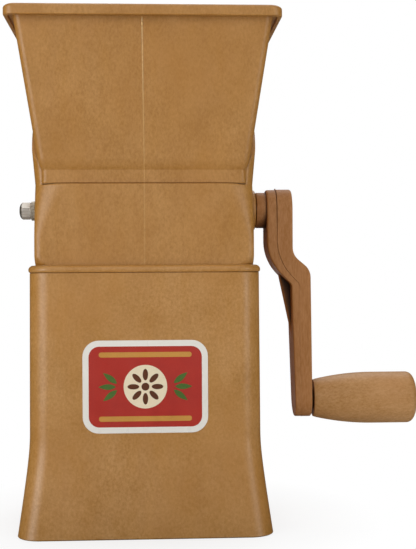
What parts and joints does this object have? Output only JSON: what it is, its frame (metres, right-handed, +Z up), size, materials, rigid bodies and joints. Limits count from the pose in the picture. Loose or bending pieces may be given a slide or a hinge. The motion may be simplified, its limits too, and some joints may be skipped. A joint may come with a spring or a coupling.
{
  "type": "nut chopper",
  "caption": "Hand-cranked nut chopper: a flared rectangular hopper over a toothed-disc rotor, standing in a tall collecting container with a spread foot.",
  "frame": {"origin": "middle of the container's foot, on the plane of the table", "axes": "+Z up, +X along the shaft towards the crank, -Y towards the front with the label"},
  "size_m": [0.1869, 0.1008, 0.2282],
  "materials": {
    "body_plastic": "moulded satin",
    "crank_plastic": "moulded satin",
    "knob_plastic": "moulded satin",
    "label_vinyl": "printed gloss",
    "stainless_plate": "brushed",
    "plated_steel": "bright plated",
    "turned_steel": "turned",
    "bearing_nylon": "moulded satin"
  },
  "bodies": {
    "container": {"collecting_container": "body_plastic", "front_label": "label_vinyl"},
    "housing": {"hopper_housing": "body_plastic", "drive_bush": "bearing_nylon", "idle_bush": "bearing_nylon", "front_comb": "stainless_plate", "rear_comb": "stainless_plate", "comb_screws": "plated_steel"},
    "rotor": {"drive_shaft": "turned_steel", "cutter_disc_1": "stainless_plate", "cutter_disc_2": "stainless_plate", "cutter_disc_3": "stainless_plate", "cutter_disc_4": "stainless_plate", "cutter_disc_5": "stainless_plate", "cutter_disc_6": "stainless_plate", "cutter_disc_7": "stainless_plate", "cutter_disc_8": "stainless_plate", "cutter_disc_9": "stainless_plate", "cutter_disc_10": "stainless_plate", "spacer_1": "bearing_nylon", "spacer_2": "bearing_nylon", "spacer_3": "bearing_nylon", "spacer_4": "bearing_nylon", "spacer_5": "bearing_nylon", "spacer_6": "bearing_nylon", "spacer_7": "bearing_nylon", "spacer_8": "bearing_nylon", "spacer_9": "bearing_nylon", "spacer_10": "bearing_nylon", "spacer_11": "bearing_nylon", "nut_washer": "plated_steel", "cap_nut": "plated_steel", "crank_arm": "crank_plastic", "knob_washer": "plated_steel", "knob_pin": "plated_steel"},
    "knob": {"knob": "knob_plastic"}
  },
  "joints": [
    {"name": "lift_off", "type": "slide", "parent": "container", "child": "housing", "axis": [0, 0, 1], "range_m": [0, 0.04]},
    {"name": "crank_turn", "type": "hinge", "parent": "housing", "child": "rotor", "pos_m": [0, 0, 0.1432], "axis": [1, 0, 0], "continuous": true},
    {"name": "knob_spin", "type": "hinge", "parent": "rotor", "child": "knob", "pos_m": [0.1, 0, 0.0547], "axis": [1, 0, 0], "continuous": true}
  ]
}
